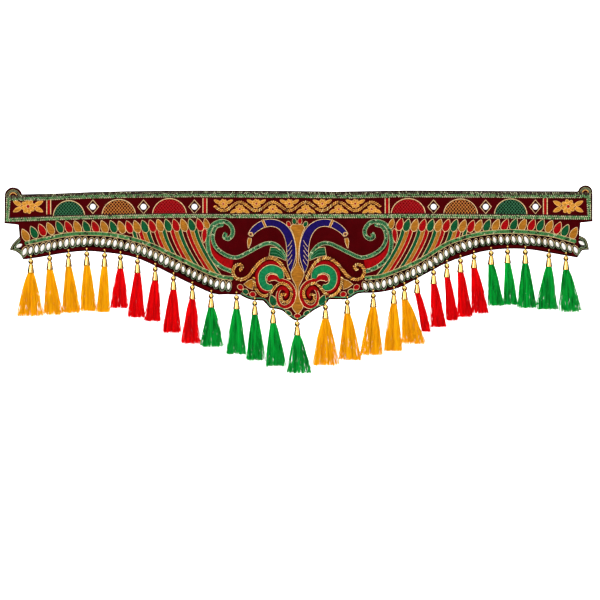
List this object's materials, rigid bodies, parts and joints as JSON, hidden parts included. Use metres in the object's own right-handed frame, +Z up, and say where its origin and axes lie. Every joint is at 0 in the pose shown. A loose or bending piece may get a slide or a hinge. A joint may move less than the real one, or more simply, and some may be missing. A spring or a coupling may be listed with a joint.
{
  "type": "toran door hanging",
  "caption": "Embroidered velvet valance for the head of a doorway, with a pointed middle, stone trim and a row of bell-capped silk tassels.",
  "frame": {"origin": "middle of the top edge, on the back of the cloth", "axes": "+X along the hanging towards the viewer's right, +Y into the wall behind it, +Z up"},
  "size_m": [0.9994, 0.015, 0.3179],
  "materials": {
    "velvet": "short-pile maroon velvet",
    "braid": "green metallic braid with gold edges",
    "stone": "white cut acrylic stones in looped cord",
    "mirror": "small round glass mirror",
    "brass": "bright gold-plated beads and bell caps",
    "thread_gold": "gold metallic embroidery thread",
    "thread_cord": "pale gold outlining cord",
    "thread_red": "red satin-stitch filling",
    "thread_green": "green satin-stitch filling",
    "thread_blue": "deep blue satin-stitch filling",
    "silk_yellow": "shiny yellow-orange artificial silk",
    "silk_red": "shiny red artificial silk",
    "silk_green": "shiny green artificial silk"
  },
  "bodies": {
    "root": {"panel": "velvet", "header_braid": "braid", "lower_braid_left": "braid", "lower_braid_right": "braid", "stone_trim_left": "stone", "stone_trim_right": "stone", "wing_stone_left": "stone", "wing_stone_right": "stone", "mirror_1": "mirror", "mirror_2": "mirror", "mirror_3": "mirror", "mirror_4": "mirror", "mirror_5": "mirror", "mirror_6": "mirror", "tassel_01": "silk_yellow", "tassel_02": "silk_yellow", "tassel_03": "silk_yellow", "tassel_04": "silk_yellow", "tassel_05": "silk_yellow", "tassel_06": "silk_red", "tassel_07": "silk_red", "tassel_08": "silk_red", "tassel_09": "silk_red", "tassel_10": "silk_red", "tassel_11": "silk_green", "tassel_12": "silk_green", "tassel_13": "silk_green", "tassel_14": "silk_green", "tassel_15": "silk_green", "tassel_16": "silk_yellow", "tassel_17": "silk_yellow", "tassel_18": "silk_yellow", "tassel_19": "silk_yellow", "tassel_20": "silk_yellow", "tassel_21": "silk_red", "tassel_22": "silk_red", "tassel_23": "silk_red", "tassel_24": "silk_red", "tassel_25": "silk_red", "tassel_26": "silk_green", "tassel_27": "silk_green", "tassel_28": "silk_green", "tassel_29": "silk_green", "tassel_30": "silk_green"}
  },
  "joints": []
}
